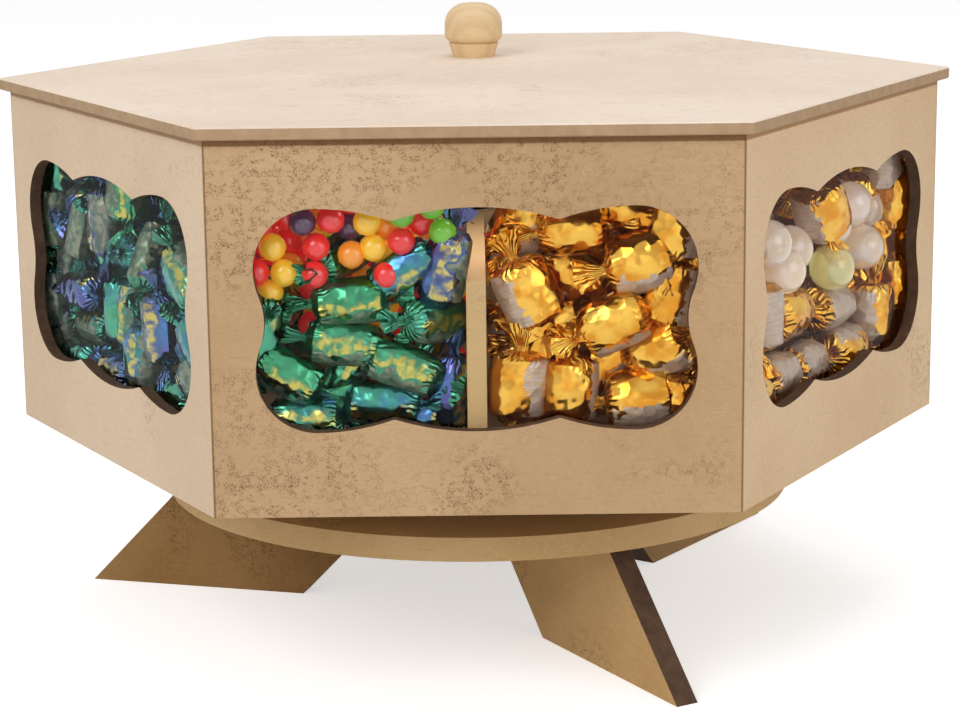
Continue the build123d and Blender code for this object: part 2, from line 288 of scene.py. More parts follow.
PAINTED_SHADE_BAND = 0.0029
window_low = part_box("window_front")[0][2]
window_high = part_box("window_front")[1][2]
panel_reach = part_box("panel_front")[1][0]
panel_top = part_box("panel_front")[1][2]
# Tones per side are partly painted light and shade: darkest on the front, palest on the two front corners
for number, (side, azimuth, pale, deep, pits) in enumerate(
    (
        ("front", -90, (0.565, 0.375, 0.208), (0.480, 0.305, 0.158), 1.0),
        ("front_right", -30, (0.760, 0.550, 0.350), (0.690, 0.485, 0.290), 0.3),
        ("back_right", 30, (0.660, 0.490, 0.310), (0.580, 0.410, 0.245), 0.5),
        ("back", 90, (0.630, 0.440, 0.260), (0.540, 0.360, 0.200), 0.8),
        ("back_left", 150, (0.670, 0.500, 0.330), (0.600, 0.430, 0.270), 0.4),
        ("front_left", 210, (0.745, 0.575, 0.405), (0.680, 0.510, 0.350), 0.25),
    )
):
    outward = (cos(radians(azimuth)), sin(radians(azimuth)), 0.0)
    board = fibreboard(
        f"{side} panel board",
        pale,
        deep,
        pits,
        10 + number,
        outward,
        cut_from=window_low,
        cut_to=window_high,
        corner=panel_reach,
        shade_band_from=panel_top - PAINTED_SHADE_BAND,
    )
    finish_node("panel_" + side, board)


# Clear sheets
# Polished 2 mm acrylic glued behind each window. It mirrors a little of the room, more at a
# glance, and lets everything else through.

acrylic, tree, shader = new_finish("clear acrylic")
tree.nodes.remove(shader)
clear = put(tree, "BsdfTransparent", {"Color": (0.97, 0.98, 0.98, 1)})
haze = ranged(tree, cloud(tree, own_place(tree), 30, 3), 0.02, 0.09)
mirrored = put(tree, "BsdfGlossy", {"Color": (0.9, 0.95, 0.95, 1), "Roughness": haze})
glance = put(tree, "Fresnel", {"IOR": 1.45}).outputs[0]
entering = ranged(tree, put(tree, "NewGeometry").outputs["Backfacing"], 0.16, 0.0)
glance = product(tree, glance, entering)
sheet = put(tree, "MixShader", {0: glance, 1: clear.outputs[0], 2: mirrored.outputs[0]})
tree.links.new(sheet.outputs[0], tree.nodes["Material Output"].inputs["Surface"])
for side in ("front", "front_right", "back_right", "back", "back_left", "front_left"):
    finish_node("window_" + side, acrylic)


# Wrapped sweets
# A small pillow-shaped sweet in metallised foil, twisted at both ends so that the foil
# spreads into a pleated fan. Each kind is modelled once, then copied for the whole heap.


def choose(piece, test):
    """Selects the points of a piece in edit mode whose place passes the test."""
    points = bmesh.from_edit_mesh(piece.data)
    for point in points.verts:
        point.select = test(point.co)
    points.select_flush_mode()
    bmesh.update_edit_mesh(piece.data)


def ring_out(rise, widen):
    """Draws the open ring on along the sweet and makes it wider or narrower."""
    bpy.ops.mesh.extrude_region_move(TRANSFORM_OT_translate={"value": (0, 0, rise)})
    bpy.ops.transform.resize(value=(widen, widen, 1))


def keep_places(piece):
    """Stores each point's place in the single sweet, which the finishes read in the heap."""
    wrap = piece.data.attributes.new("wrap", "FLOAT_VECTOR", "POINT")
    wrap.data.foreach_set("vector", [part for vertex in piece.data.vertices for part in vertex.co])


def twist_wrapped(name, length, radius, fan, seed):
    """One sweet along Z: a crumpled pillow, two tight necks and two folded fans."""
    sides = 14
    bpy.ops.object.select_all(action="DESELECT")
    bpy.ops.mesh.primitive_cylinder_add(
        vertices=sides, radius=radius, depth=length * 0.45, end_fill_type="NOTHING"
    )
    sweet = bpy.context.active_object
    sweet.name = name
    bpy.ops.object.mode_set(mode="EDIT")
    bpy.ops.mesh.select_mode(type="VERT")
    for end, swirl in ((1, 0.5), (-1, 0.8)):
        start = end * length * 0.225
        choose(sweet, lambda place: abs(place.z - start) < 1e-5)
        ring_out(end * length * 0.19, 0.93)
        ring_out(end * length * 0.085, 0.70)
        ring_out(end * length * 0.03, 0.36)
        bpy.ops.transform.rotate(value=swirl, orient_axis="Z", center_override=(0, 0, 0))
        ring_out(end * fan * 0.18, 0.95)
        ring_out(end * fan * 0.40, 2.9)
        ring_out(end * fan * 0.42, 1.55)
        rim = end * (length * 0.53 + fan)
        pleat = tau / sides
        choose(
            sweet,
            lambda place: abs(place.z - rim) < fan * 0.45
            and round((atan2(place.y, place.x) + swirl) / pleat) % 2 == 0,
        )
        bpy.ops.transform.resize(value=(0.58, 0.58, 1))
        bpy.ops.transform.translate(value=(0, 0, end * fan * 0.12))
        choose(sweet, lambda place: abs(place.z - rim) < fan * 0.2)
        ring_out(-end * fan * 0.45, 0.3)
        bpy.ops.mesh.merge(type="CENTER")
        choose(sweet, lambda place: end * place.z > length * 0.54)
        flat = (1, 0.5, 1) if end > 0 else (0.6, 1, 1)
        bpy.ops.transform.resize(value=flat)
    bpy.ops.mesh.select_all(action="SELECT")
    bpy.ops.transform.resize(value=(1, 0.84, 1), center_override=(0, 0, 0))
    bpy.ops.transform.vertex_random(offset=0.0009, uniform=0.5, seed=seed)
    bpy.ops.mesh.normals_make_consistent(inside=False)
    bpy.ops.object.mode_set(mode="OBJECT")
    bpy.ops.object.shade_smooth_by_angle(angle=radians(36))
    keep_places(sweet)
    return sweet


def attribute(tree, name, output):
    return put(tree, "Attribute", attribute_name=name).outputs[output]


def foil(name):
    """Metallised film: its base shader, and its own place on the sweet with a shift for each."""
    finish, tree, film = new_finish(name)
    tone = attribute(tree, "tone", "Fac")
    own = attribute(tree, "wrap", "Vector")
    apart = put(tree, "CombineXYZ", {0: tone, 1: tone, 2: tone}).outputs[0]
    place = put(tree, "VectorMath", {0: own, 1: apart}, operation="ADD").outputs[0]
    facets = put(tree, "TexVoronoi", {"Vector": place, "Scale": 170}).outputs["Distance"]
    parts = put(tree, "SeparateXYZ", {0: own})
    about = put(tree, "Math", {0: parts.outputs[1], 1: parts.outputs[0]}, operation="ARCTAN2").outputs[0]
    folds = scaled_sum(tree, about, 19.0, product(tree, cloud(tree, place, 150, 1), 14.0))
    folds = put(tree, "Math", {0: folds}, operation="SINE").outputs[0]
    folds = product(tree, folds, between(tree, size_of(tree, parts.outputs[2]), 0.007, 0.017))
    creases = scaled_sum(tree, folds, 0.28, facets)
    bump = put(tree, "Bump", {"Height": creases, "Strength": 0.7, "Distance": 0.0013})
    tree.links.new(bump.outputs[0], film.inputs["Normal"])
    film.inputs["Metallic"].default_value = 1.0
    return finish, tree, film, own, place, tone


# Green and blue foil: a shifting green to blue sheen, a dull olive print along one side and
# golden flecks beside it
BODY_HALF = 0.0145
green_foil, tree, film, own, place, tone = foil("green and blue foil")
shift = cloud(tree, place, 85, 1.5)
hue = put(tree, "Math", {0: tone, 1: shift}, operation="ADD").outputs[0]
hue = put(tree, "MapRange", {"Value": hue, "From Min": 0.3, "From Max": 1.7}).outputs[0]
sheen = put(tree, "ValToRGB", {0: hue})
stops = sheen.color_ramp.elements
stops[0].position, stops[0].color = 0.0, (0.05, 0.27, 0.12, 1)
stops[1].position, stops[1].color = 1.0, (0.11, 0.08, 0.26, 1)
for spot, colour in (
    (0.3, (0.08, 0.34, 0.19, 1)),
    (0.5, (0.06, 0.27, 0.22, 1)),
    (0.72, (0.07, 0.17, 0.37, 1)),
):
    stops.new(spot).color = colour
axes = put(tree, "SeparateXYZ", {0: own})
along = size_of(tree, axes.outputs[2])
middle = put(tree, "Math", {0: along, 1: BODY_HALF}, operation="LESS_THAN").outputs[0]
wave = scaled_sum(tree, cloud(tree, place, 140, 2), 0.018, axes.outputs[0])
shade = product(tree, between(tree, wave, 0.002, 0.006), 0.35)
colour = stain(tree, shade, sheen.outputs[0], (0.03, 0.09, 0.07, 1))
strokes = put(tree, "Mapping", {0: place, "Scale": (150, 150, 330)}).outputs[0]
golden = product(tree, between(tree, cloud(tree, strokes, 1, 1.5), 0.25, 0.6), middle)
golden = product(tree, golden, between(tree, wave, 0.0055, 0.0085))
golden = product(tree, golden, between(tree, wave, 0.0125, 0.0112))
colour = stain(tree, product(tree, golden, 0.8), colour, (0.60, 0.47, 0.09, 1))
print_band = product(tree, between(tree, wave, 0.0135, 0.0145), middle)
faded = between(tree, cloud(tree, place, 260, 2), 0.4, 0.6)
olive = stain(tree, faded, (0.27, 0.27, 0.18, 1), (0.10, 0.14, 0.10, 1))
colour = stain(tree, product(tree, print_band, 0.85), colour, olive)
tree.links.new(colour, film.inputs["Base Color"])
tree.links.new(ranged(tree, print_band, 0.2, 0.4), film.inputs["Roughness"])
tree.links.new(ranged(tree, print_band, 1.0, 0.6), film.inputs["Metallic"])

# Gold foil: deep gold with a silvery satin print, in one ragged band along the body
gold_foil, tree, film, own, place, _ = foil("gold foil")
deep = cloud(tree, place, 100, 2)
colour = stain(tree, between(tree, deep, 0.35, 0.65), (0.76, 0.43, 0.072, 1), (0.62, 0.245, 0.02, 1))
axes = put(tree, "SeparateXYZ", {0: own})
along = size_of(tree, axes.outputs[2])
ragged = scaled_sum(tree, cloud(tree, place, 150, 3, 0.6), 0.018, axes.outputs[0])
splash = product(tree, between(tree, ragged, 0.0132, 0.0150), between(tree, along, BODY_HALF, 0.0125))
lined = put(tree, "Mapping", {0: place, "Scale": (90, 90, 900)}).outputs[0]
marks = between(tree, cloud(tree, lined, 1, 1), 0.5, 0.6)
satin = stain(tree, product(tree, marks, 0.4), (0.57, 0.43, 0.35, 1), (0.46, 0.27, 0.11, 1))
colour = stain(tree, splash, colour, satin)
tree.links.new(colour, film.inputs["Base Color"])
tree.links.new(ranged(tree, splash, 0.17, 0.34), film.inputs["Roughness"])
tree.links.new(ranged(tree, splash, 1.0, 0.3), film.inputs["Metallic"])


# Round sweets
# Small glossy boiled sweets in five fruit colours, and larger pearly ones that let some light
# through. Both are pressed balls with a slight seam, and both glow faintly in their own colour
# as painted light.


def pressed_ball(name, radius, fineness):
    bpy.ops.object.select_all(action="DESELECT")
    bpy.ops.mesh.primitive_ico_sphere_add(subdivisions=fineness, radius=radius)
    ball = bpy.context.active_object
    ball.name = name
    bpy.ops.object.mode_set(mode="EDIT")
    bpy.ops.mesh.select_mode(type="VERT")
    choose(ball, lambda place: abs(place.z) < radius * 0.2)
    bpy.ops.transform.resize(value=(1.03, 1.03, 0.6), center_override=(0, 0, 0))
    bpy.ops.object.mode_set(mode="OBJECT")
    bpy.ops.object.shade_smooth()
    keep_places(ball)
    return ball


fruit, tree, sugar = new_finish("fruit boiled sweet")
tone = attribute(tree, "tone", "Fac")
flavour = put(tree, "ValToRGB", {0: tone})
flavour.color_ramp.interpolation = "CONSTANT"
stops = flavour.color_ramp.elements
stops[0].position, stops[0].color = 0.0, (0.80, 0.005, 0.009, 1)
stops[1].position, stops[1].color = 0.42, (0.85, 0.27, 0.005, 1)
for spot, colour in (
    (0.64, (0.90, 0.50, 0.012, 1)),
    (0.86, (0.14, 0.46, 0.01, 1)),
    (0.93, (0.06, 0.012, 0.06, 1)),
):
    stops.new(spot).color = colour
cloudy = cloud(tree, attribute(tree, "wrap", "Vector"), 160, 2)
syrup = stain(tree, product(tree, cloudy, 0.04), flavour.outputs[0], (1, 0.9, 0.8, 1))
tree.links.new(syrup, sugar.inputs["Base Color"])
# Painted light: the boiled sweet glows faintly in its own colour
tree.links.new(syrup, sugar.inputs["Emission Color"])
sugar.inputs["Emission Strength"].default_value = 0.16
sugar.inputs["Roughness"].default_value = 0.14
sugar.inputs["Coat Weight"].default_value = 0.5

pearl, tree, sugar = new_finish("pearly sweet")
milk = cloud(tree, attribute(tree, "wrap", "Vector"), 60, 2)
milky = stain(tree, between(tree, milk, 0.35, 0.7), (0.90, 0.79, 0.74, 1), (0.84, 0.64, 0.42, 1))
lemon = between(tree, attribute(tree, "tone", "Fac"), 0.93, 0.96)
milky = stain(tree, product(tree, lemon, 0.7), milky, (0.78, 0.74, 0.22, 1))
tree.links.new(milky, sugar.inputs["Base Color"])
# Painted light: the pearly sweet glows faintly in its own colour
tree.links.new(milky, sugar.inputs["Emission Color"])
sugar.inputs["Emission Strength"].default_value = 0.14
sugar.inputs["Roughness"].default_value = 0.1
sugar.inputs["Transmission Weight"].default_value = 0.5
sugar.inputs["Coat Weight"].default_value = 1.0


# The heaps in the three compartments
# The sweets nearest the windows in view stand about as the photograph shows them. The others are
# poured in and settle on plain cores, which take the place of those that nobody sees and are
# taken out.

SOLVER_SCALE = 10
SETTLING_FRAMES = 110
CORE_SUNK = 0.01
FOIL_GAP = 0.0004
inner_apothem = -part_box("window_front")[1][1]
divider_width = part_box("divider_front")[1][0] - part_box("divider_front")[0][0]
heap_floor = window_low - 0.004
divider_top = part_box("divider_front")[1][2]
core_top = divider_top - 0.018
heap_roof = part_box("lid_locating_board")[0][2] - 0.001


def passive(piece, shape):
    bpy.ops.rigidbody.object_add(type="PASSIVE")
    piece.rigid_body.collision_shape = shape
    piece.rigid_body.use_margin = True
    piece.rigid_body.collision_margin = 0.0
    piece.rigid_body.friction = 0.5


def mould_wall(centre, azimuth, size):
    bpy.ops.object.select_all(action="DESELECT")
    bpy.ops.mesh.primitive_cube_add(
        size=1,
        location=[part * SOLVER_SCALE for part in centre],
        rotation=(0, 0, radians(azimuth)),
        scale=[part * SOLVER_SCALE for part in size],
    )
    passive(bpy.context.active_object, "BOX")
    return bpy.context.active_object


def core(azimuth, gap, top):
    """Fan-shaped block that fills one compartment up to a gap inside the panels."""
    reach = (inner_apothem - gap) / cos(radians(30))
    bpy.ops.object.select_all(action="DESELECT")
    bpy.ops.mesh.primitive_circle_add(vertices=6, radius=reach * SOLVER_SCALE, fill_type="TRIFAN")
    block = bpy.context.active_object
    bpy.ops.object.mode_set(mode="EDIT")
    bpy.ops.mesh.select_mode(type="VERT")
    choose(block, lambda place: abs(atan2(place.y, place.x)) > radians(80) and place.length > 0.1)
    bpy.ops.mesh.delete(type="VERT")
    bpy.ops.mesh.select_all(action="SELECT")
    bpy.ops.transform.translate(value=(0, 0, (heap_floor - CORE_SUNK) * SOLVER_SCALE))
    rise = (0, 0, (top - heap_floor + CORE_SUNK) * SOLVER_SCALE)
    bpy.ops.mesh.extrude_region_move(TRANSFORM_OT_translate={"value": rise})
    bpy.ops.object.mode_set(mode="OBJECT")
    block.rotation_euler.z = radians(azimuth)
    passive(block, "CONVEX_HULL")
    return block


def row(azimuth, start, stop, count, depth):
    """Even places along the inside of one panel."""
    way = radians(azimuth)
    out = inner_apothem - depth
    places = []
    for number in range(count):
        side = start + (stop - start) * (number + 0.5) / count
        places.append((out * cos(way) - side * sin(way), out * sin(way) + side * cos(way)))
    return places


def field(azimuth, spacing, margin, keep=lambda x, y: True):
    """Even places all over one compartment, or over the part to keep, clear of its boards."""
    first, last = radians(azimuth - 60), radians(azimuth + 60)
    places = []
    for line in range(-20, 21):
        for column in range(-20, 21):
            x = (column + 0.5 * (line % 2)) * spacing
            y = line * spacing * 0.87
            from_boards = min(y * cos(first) - x * sin(first), x * sin(last) - y * cos(last))
            clear = from_boards > margin + divider_width / 2
            sides = (radians(60 * side - 90) for side in range(6))
            inside = max(x * cos(way) + y * sin(way) for way in sides) < inner_apothem - margin
            if clear and inside and keep(x, y):
                places.append((x, y))
    return places


def outside_fences(x, y):
    return x < -0.126 or y > -0.08


def inside_fences(x, y):
    return x > -0.110 and y < -0.098


def body_at(hull, place, turn):
    """A solid for the solver, at a place in metres."""
    body = bpy.data.objects.new("poured", hull)
    body.location = Vector(place) * SOLVER_SCALE
    body.rotation_euler = turn.to_euler()
    scene.collection.objects.link(body)
    return body


def settle(stacked, pours):
    """Pours layers of sweets round the stacked ones; returns how each stacks or comes to rest."""
    moulds = [mould_wall((0, 0, heap_floor - 0.05), 0, (0.6, 0.6, 0.1))]
    for side in range(6):
        way = radians(60 * side - 90)
        middle = inner_apothem + 0.05
        centre = (middle * cos(way), middle * sin(way), 1.0)
        moulds.append(mould_wall(centre, 60 * side - 90, (0.1, 0.4, 2.0)))
    for side in range(3):
        way = radians(120 * side - 90)
        centre = (0.11 * cos(way), 0.11 * sin(way), 1.0)
        moulds.append(mould_wall(centre, 120 * side - 90, (0.25, divider_width, 2.0)))
    # Two fences and a block keep the boiled sweets together above the green ones
    moulds.append(mould_wall((-0.118, -0.13, core_top + 0.3), 0, (0.002, 0.18, 0.6)))
    moulds.append(mould_wall((-0.06, -0.09, core_top + 0.3), 0, (0.116, 0.002, 0.6)))
    moulds.append(mould_wall((-0.058, -0.15, heap_floor), 0, (0.108, 0.094, 0.096)))
    moulds += [core(210, 0.027, core_top), core(-30, 0.034, core_top - 0.006), core(90, 0.032, core_top)]
    dice = random.Random(11)
    still = []
    for hull, azimuth, spots in stacked:
        way = radians(azimuth)
        for side, up, tilt, yaw, depth, spin in spots:
            turn = Matrix.Rotation(way + radians(90 + yaw), 4, "Z")
            turn = turn @ Matrix.Rotation(radians(90 - tilt), 4, "Y")
            turn = turn @ Matrix.Rotation(radians(spin), 4, "Z")
            side, out = side / 1000, inner_apothem - depth / 1000
            place = (out * cos(way) - side * sin(way), out * sin(way) + side * cos(way), up / 1000)
            still.append(body_at(hull, place, turn))
    loose = []
    for hull, places, layers, height, thickness, yaw in pours:
        for layer in range(layers):
            for x, y in places:
                shift = 0.15 * thickness
                place = (
                    x + dice.uniform(-shift, shift),
                    y + dice.uniform(-shift, shift),
                    height + layer * thickness,
                )
                swing = dice.uniform(0, tau) if yaw is None else radians(yaw) + dice.uniform(-0.3, 0.3)
                tip = 0.2 if yaw is None else 0.8
                turn = Matrix.Rotation(swing, 4, "Z")
                turn = turn @ Matrix.Rotation(pi / 2 + dice.uniform(-tip, tip), 4, "X")
                turn = turn @ Matrix.Rotation(dice.uniform(0, tau), 4, "Z")
                loose.append(body_at(hull, place, turn))
    for bodies, kind in ((still, "PASSIVE"), (loose, "ACTIVE")):
        bpy.ops.object.select_all(action="DESELECT")
        for body in bodies:
            body.select_set(True)
        bpy.context.view_layer.objects.active = bodies[0]
        bpy.ops.rigidbody.objects_add(type=kind)
    for body in still + loose:
        solid = body.rigid_body
        solid.collision_shape = "SPHERE" if body.data.name.startswith("ball") else "CONVEX_HULL"
        solid.use_margin = True
        solid.collision_margin = 0.0 if solid.collision_shape == "SPHERE" else 0.004
        solid.mass = 0.05
        solid.friction = 0.45
        solid.restitution = 0.0
        solid.linear_damping = 0.1
        solid.angular_damping = 0.35
    for frame_number in range(1, SETTLING_FRAMES + 1):
        scene.frame_set(frame_number)
    rests = []
    for body in still + loose:
        place, turn, _ = body.matrix_world.decompose()
        rests.append(Matrix.Translation(place / SOLVER_SCALE) @ turn.to_matrix().to_4x4())
    bpy.ops.rigidbody.world_remove()
    for piece in still + loose + moulds:
        bpy.data.objects.remove(piece)
    scene.frame_set(1)
    groups = []
    counts = [len(spots) for hull, azimuth, spots in stacked]
    counts += [len(places) * layers for hull, places, layers, *rest in pours]
    for count in counts:
        groups.append(rests[:count])
        rests = rests[count:]
    return groups


def hull_of(name, length, radius):
    """Simple solid that stands for one sweet while the heap settles."""
    bpy.ops.object.select_all(action="DESELECT")
    if length:
        bpy.ops.mesh.primitive_cylinder_add(
            vertices=8, radius=radius * SOLVER_SCALE, depth=length * SOLVER_SCALE
        )
    else:
        bpy.ops.mesh.primitive_ico_sphere_add(subdivisions=1, radius=radius * SOLVER_SCALE)
    piece = bpy.context.active_object
    shape = piece.data
    shape.name = name
    bpy.data.objects.remove(piece)
    return shape


def press_flat(pile, way, limit, roof):
    """Presses what stands past an upright plane, below a height, back onto that plane."""
    ahead = Vector((cos(way), sin(way), 0))
    choose(pile, lambda place: place.dot(ahead) > limit and place.z < roof)
    bpy.ops.transform.resize(
        value=(0, 1, 1),
        orient_type="GLOBAL",
        orient_matrix=(ahead, (-sin(way), cos(way), 0), (0, 0, 1)),
        orient_matrix_type="GLOBAL",
        center_override=ahead * limit,
    )


def heap(name, azimuth, models, rests, tones, finish):
    """Copies the models to their resting places and joins them into one piece on the box.

    Foil that reaches past a sheet, a divider or the lid is pressed flat against it."""
    bpy.ops.object.select_all(action="DESELECT")
    for number, (rest, tone) in enumerate(zip(rests, tones)):
        copy = models[number % len(models)].copy()
        copy.data = copy.data.copy()
        copy.matrix_world = rest
        scene.collection.objects.link(copy)
        marks = copy.data.attributes.new("tone", "FLOAT", "POINT")
        marks.data.foreach_set("value", [tone] * len(copy.data.vertices))
        copy.select_set(True)
        bpy.context.view_layer.objects.active = copy
    bpy.ops.object.transform_apply(location=True, rotation=True, scale=True)
    bpy.ops.object.join()
    pile = bpy.context.active_object
    pile.name = name
    bpy.ops.object.mode_set(mode="EDIT")
    for side in range(6):
        press_flat(pile, radians(60 * side - 90), inner_apothem - FOIL_GAP, 1)
    for edge in (-150, 150):
        press_flat(pile, radians(azimuth + edge), -FOIL_GAP - divider_width / 2, divider_top + 0.001)
    choose(pile, lambda place: place.z > heap_roof)
    bpy.ops.transform.resize(value=(1, 1, 0), center_override=(0, 0, heap_roof))
    bpy.ops.object.mode_set(mode="OBJECT")
    pile.data.materials.clear()
    pile.data.materials.append(finish)
    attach(pile, "box")


long_sweets = [twist_wrapped(f"long sweet {n}", 0.034, 0.0108, 0.0105, n) for n in (1, 2)]
short_sweets = [twist_wrapped(f"short sweet {n}", 0.031, 0.0142, 0.0135, n) for n in (3, 4)]
fruit_ball = pressed_ball("fruit ball", 0.0066, 2)
pearl_ball = pressed_ball("pearl ball", 0.0118, 3)
long_hull = hull_of("long", 0.044, 0.0098)
short_hull = hull_of("short", 0.044, 0.0132)
small_hull = hull_of("ball small", 0, 0.0066)
large_hull = hull_of("ball large", 0, 0.0118)
# Across, up, tilt, turn away, depth and roll of each sweet in the two halves of the window
green_front = (
    (-58, 199, 4, 0, 11, 10),
    (-61, 179, -7, 0, 12, 0),
    (-88, 165, -30, 0, 11, 15),
    (-34, 168, -22, 0, 11, -10),
    (-19, 189, -4, 42, 17, 0),
    (-44, 150, -4, 0, 12, 20),
    (-32, 139, 12, 0, 19, 0),
    (-12, 154, 84, 0, 19, 40),
    (-91, 195, 0, 80, 26, 0),
    (-63, 218, 12, 55, 25, 0),
    (-33, 212, 34, 0, 14, 30),
    (-14, 214, 78, 0, 12, 0),
    (-80, 143, 0, 0, 12, -20),
    (-62, 158, 64, 0, 27, 0),
    (-98, 186, 82, 0, 13, 50),
)
gold_front = (
    (76, 215, 14, 0, 15, 0),
    (64, 187, 24, 0, 14, 25),
    (24, 201, -66, 0, 16, 0),
    (45, 229, 2, 0, 24, 60),
    (19, 158, 84, 0, 14, 0),
    (43, 155, 86, 0, 16, 30),
    (76, 150, 6, 0, 16, -15),
    (85, 173, 26, -24, 20, 10),
    (91, 200, 74, 0, 19, 0),
    (60, 165, 50, 0, 32, 0),
    (36, 180, 20, 0, 34, 0),
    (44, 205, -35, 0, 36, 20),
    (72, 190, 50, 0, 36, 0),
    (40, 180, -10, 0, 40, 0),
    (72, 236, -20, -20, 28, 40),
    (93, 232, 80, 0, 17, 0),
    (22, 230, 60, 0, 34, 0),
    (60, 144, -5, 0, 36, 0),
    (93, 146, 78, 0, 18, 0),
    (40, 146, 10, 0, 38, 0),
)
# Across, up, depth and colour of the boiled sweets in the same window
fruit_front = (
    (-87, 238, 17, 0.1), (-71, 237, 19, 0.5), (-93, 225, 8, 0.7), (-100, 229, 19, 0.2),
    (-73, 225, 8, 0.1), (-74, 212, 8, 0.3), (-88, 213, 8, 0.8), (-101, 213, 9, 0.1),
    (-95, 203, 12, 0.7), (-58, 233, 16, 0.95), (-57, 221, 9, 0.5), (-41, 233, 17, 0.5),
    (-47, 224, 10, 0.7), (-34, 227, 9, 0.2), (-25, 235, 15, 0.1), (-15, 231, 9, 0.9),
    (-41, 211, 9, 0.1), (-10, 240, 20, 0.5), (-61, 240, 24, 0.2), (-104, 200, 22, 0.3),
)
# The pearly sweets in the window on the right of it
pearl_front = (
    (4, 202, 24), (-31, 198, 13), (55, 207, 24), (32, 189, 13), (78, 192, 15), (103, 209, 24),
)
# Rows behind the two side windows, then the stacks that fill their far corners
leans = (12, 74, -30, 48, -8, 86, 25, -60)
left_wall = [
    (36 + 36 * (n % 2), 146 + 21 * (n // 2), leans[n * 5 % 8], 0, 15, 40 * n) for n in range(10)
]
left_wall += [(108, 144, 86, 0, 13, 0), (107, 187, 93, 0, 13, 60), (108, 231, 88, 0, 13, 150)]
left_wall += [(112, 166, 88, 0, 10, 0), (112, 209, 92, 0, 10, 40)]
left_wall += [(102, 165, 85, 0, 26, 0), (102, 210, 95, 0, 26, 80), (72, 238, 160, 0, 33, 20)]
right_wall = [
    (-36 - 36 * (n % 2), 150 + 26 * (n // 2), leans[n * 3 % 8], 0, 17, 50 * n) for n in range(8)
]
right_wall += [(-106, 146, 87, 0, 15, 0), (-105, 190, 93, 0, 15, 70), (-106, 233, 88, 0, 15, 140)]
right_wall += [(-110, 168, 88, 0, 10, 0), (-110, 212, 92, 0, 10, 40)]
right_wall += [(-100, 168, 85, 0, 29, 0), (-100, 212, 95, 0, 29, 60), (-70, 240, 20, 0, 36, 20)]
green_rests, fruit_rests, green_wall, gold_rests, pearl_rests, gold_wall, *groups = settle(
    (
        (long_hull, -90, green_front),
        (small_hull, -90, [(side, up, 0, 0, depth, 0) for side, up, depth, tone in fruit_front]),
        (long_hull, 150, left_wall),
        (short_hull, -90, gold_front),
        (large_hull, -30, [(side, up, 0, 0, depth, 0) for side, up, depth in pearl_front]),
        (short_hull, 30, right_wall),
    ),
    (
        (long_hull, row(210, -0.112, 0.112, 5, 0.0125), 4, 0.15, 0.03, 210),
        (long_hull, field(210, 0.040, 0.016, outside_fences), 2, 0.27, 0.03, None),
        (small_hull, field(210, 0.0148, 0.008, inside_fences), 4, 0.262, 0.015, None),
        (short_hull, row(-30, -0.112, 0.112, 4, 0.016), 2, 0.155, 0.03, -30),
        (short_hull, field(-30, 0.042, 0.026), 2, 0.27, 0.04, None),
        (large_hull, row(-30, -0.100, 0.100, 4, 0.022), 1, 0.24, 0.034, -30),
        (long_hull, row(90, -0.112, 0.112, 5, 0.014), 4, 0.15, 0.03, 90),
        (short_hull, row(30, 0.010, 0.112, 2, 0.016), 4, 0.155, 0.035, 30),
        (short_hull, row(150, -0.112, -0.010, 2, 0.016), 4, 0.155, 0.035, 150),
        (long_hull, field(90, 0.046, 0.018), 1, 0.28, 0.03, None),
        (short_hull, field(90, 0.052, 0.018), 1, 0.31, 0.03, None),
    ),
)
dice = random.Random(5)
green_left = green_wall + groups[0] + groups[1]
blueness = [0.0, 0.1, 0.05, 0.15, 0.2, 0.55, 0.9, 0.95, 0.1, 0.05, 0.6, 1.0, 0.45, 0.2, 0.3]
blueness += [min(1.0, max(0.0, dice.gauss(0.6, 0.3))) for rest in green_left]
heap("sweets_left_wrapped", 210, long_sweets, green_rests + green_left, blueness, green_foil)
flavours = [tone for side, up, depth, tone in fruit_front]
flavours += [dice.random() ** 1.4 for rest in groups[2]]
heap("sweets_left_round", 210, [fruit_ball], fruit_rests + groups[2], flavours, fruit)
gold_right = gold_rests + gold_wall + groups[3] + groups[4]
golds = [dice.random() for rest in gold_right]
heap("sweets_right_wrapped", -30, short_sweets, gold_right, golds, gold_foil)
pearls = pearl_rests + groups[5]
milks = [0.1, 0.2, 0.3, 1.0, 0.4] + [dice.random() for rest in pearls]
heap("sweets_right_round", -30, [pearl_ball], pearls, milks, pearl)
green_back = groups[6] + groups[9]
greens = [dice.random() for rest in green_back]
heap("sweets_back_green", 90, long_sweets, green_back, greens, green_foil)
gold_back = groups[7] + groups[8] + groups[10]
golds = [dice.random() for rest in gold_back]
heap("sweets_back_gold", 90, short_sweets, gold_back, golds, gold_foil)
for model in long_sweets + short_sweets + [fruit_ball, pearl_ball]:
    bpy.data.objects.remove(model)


# Lid
# A 6 mm board that overhangs the box, with a thinner board under it that drops inside. It is
# the palest board of all, partly its own tone and partly painted light from above, and only its
# arrises catch the light.

PALE_ARRIS = 0.0007
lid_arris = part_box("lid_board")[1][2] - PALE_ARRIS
# The lid's pale tone is partly painted light falling on its top
lid_finish = fibreboard(
    "lid board", (0.88, 0.74, 0.61), (0.80, 0.65, 0.52), 0.3, 20, (0, 0, 1), SAWN, 0, lid_arris
)
finish_node("lid_board", lid_finish)
locating_finish = fibreboard("locating board", (0.64, 0.49, 0.34), (0.56, 0.41, 0.27), 0.4, 21)
finish_node("lid_locating_board", locating_finish)


# Lid knob
# Turned from pale pine and sanded, without varnish. Its grain runs across the lid, so the
# growth rings show as soft level bands round the knob.

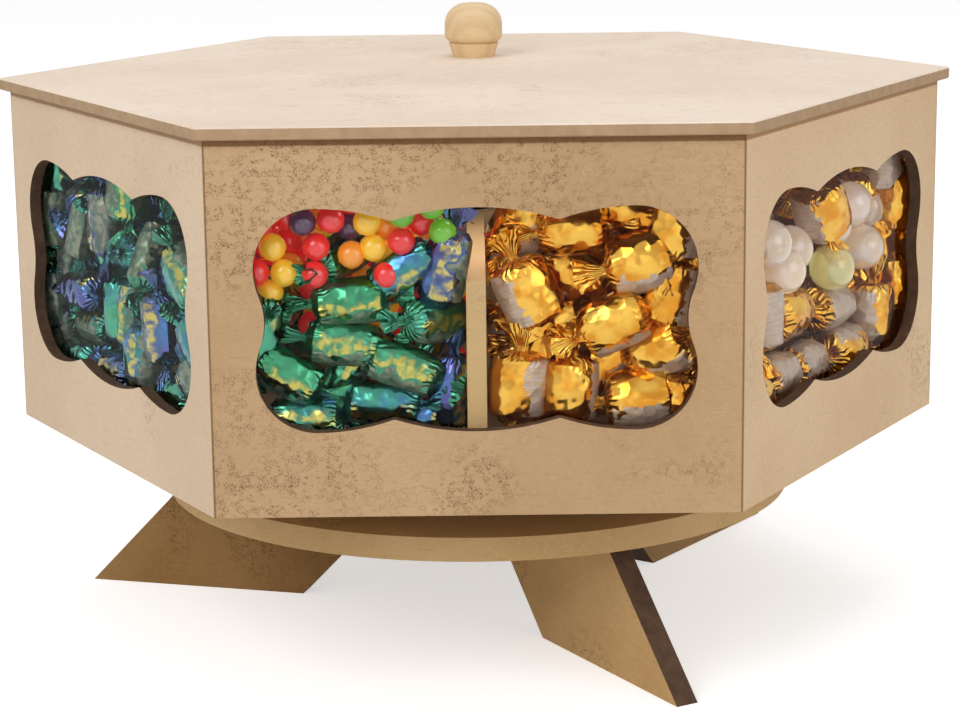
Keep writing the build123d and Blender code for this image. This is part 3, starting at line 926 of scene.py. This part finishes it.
pine, tree, wood = new_finish("turned pine")
trunk = {0: own_place(tree), "Location": (0, 0.012, -0.27), "Scale": (0.12, 1, 1)}
drawn = put(tree, "Mapping", trunk).outputs[0]
rings = put(
    tree,
    "TexWave",
    {"Vector": drawn, "Scale": 45, "Distortion": 3.5, "Detail": 2, "Detail Scale": 1.5},
    wave_type="RINGS",
    rings_direction="X",
).outputs["Fac"]
late_wood = product(tree, between(tree, rings, 0.2, 0.9), 0.4)
colour = stain(tree, late_wood, (0.74, 0.54, 0.305, 1), (0.62, 0.42, 0.205, 1))
grain = cloud(tree, drawn, 900, 3)
colour = stain(tree, product(tree, between(tree, grain, 0.5, 0.8), 0.35), colour, (0.55, 0.34, 0.15, 1))
tree.links.new(colour, wood.inputs["Base Color"])
tree.links.new(ranged(tree, grain, 0.42, 0.6), wood.inputs["Roughness"])
bump = put(tree, "Bump", {"Height": grain, "Strength": 0.12, "Distance": 0.0002})
tree.links.new(bump.outputs[0], wood.inputs["Normal"])
finish_node("lid_knob", pine)


# Studio
# A plain white floor and soft lamps. The floor shows as white but keeps the soft shadow. A strip
# lamp under the lid lights the top of the front divider, which is bright in the photograph.


def plainly_seen(tree):
    """1 for what the camera sees straight, mirrored or through a sheet; 0 for light on things."""
    rays = put(tree, "LightPath")
    either = {0: rays.outputs["Is Camera Ray"], 1: rays.outputs["Is Glossy Ray"]}
    seen = put(tree, "Math", either, operation="MAXIMUM").outputs[0]
    either = {0: seen, 1: rays.outputs["Is Transmission Ray"]}
    return put(tree, "Math", either, operation="MAXIMUM").outputs[0]


bpy.ops.object.select_all(action="DESELECT")
bpy.ops.mesh.primitive_plane_add(size=12, location=(0, 0, 0))
floor = bpy.context.active_object
floor.name = "studio_floor"
paper, tree, shader = new_finish("studio paper")
tree.nodes.remove(shader)
white = stain(tree, cloud(tree, own_place(tree), 3), (0.80, 0.80, 0.80, 1), (0.78, 0.78, 0.78, 1))
matt = put(tree, "BsdfDiffuse", {"Color": white})
strength = product(tree, plainly_seen(tree), 0.55)
glow = put(tree, "Emission", {"Color": (1, 1, 1, 1), "Strength": strength})
both = put(tree, "AddShader", {0: matt.outputs[0], 1: glow.outputs[0]})
tree.links.new(both.outputs[0], tree.nodes["Material Output"].inputs["Surface"])
floor.data.materials.append(paper)

world = bpy.data.worlds.new("studio")
scene.world = world
world.use_nodes = True
tree = world.node_tree
level = ranged(tree, plainly_seen(tree), 0.5, 1.0)
tree.links.new(level, tree.nodes["Background"].inputs["Strength"])
tree.nodes["Background"].inputs["Color"].default_value = (1, 1, 1, 1)

for name, place, width, power in (
    ("key", (-1.5, -2.0, 1.9), 1.6, 32),
    ("fill", (1.9, -1.7, 1.0), 1.6, 13),
    ("front", (0.2, -2.4, 0.6), 1.2, 2.5),
    ("top", (0.2, 0.4, 2.4), 2.0, 14),
):
    lamp_data = bpy.data.lights.new(name, "AREA")
    lamp_data.size = width
    lamp_data.energy = power
    lamp = bpy.data.objects.new(name, lamp_data)
    lamp.location = place
    lamp.rotation_euler = (Vector((0, 0, 0.18)) - Vector(place)).to_track_quat("-Z", "Y").to_euler()
    scene.collection.objects.link(lamp)

strip_data = bpy.data.lights.new("strip", "AREA")
strip_data.shape = "RECTANGLE"
strip_data.size = 0.05
strip_data.size_y = 0.14
strip_data.energy = 0.085
strip = bpy.data.objects.new("strip", strip_data)
strip.location = (0, -0.125, heap_roof - 0.002)
scene.collection.objects.link(strip)

scene.view_settings.view_transform = "Standard"


# Camera
# A long lens on the front panel, a little above the lid and tipped down, as in the photograph.
# Its place, lens and turn were fitted to the corners of the lid and the box.

camera_data = bpy.data.cameras.new("camera")
camera_data.lens = 98.775
camera_data.sensor_width = 36
camera = bpy.data.objects.new("camera", camera_data)
camera.matrix_world = (
    Matrix.Translation((0.0015, -1.385, 0.432))
    @ Matrix.Rotation(radians(77.69), 4, "X")
    @ Matrix.Rotation(radians(-0.68), 4, "Z")
)
scene.collection.objects.link(camera)
scene.camera = camera
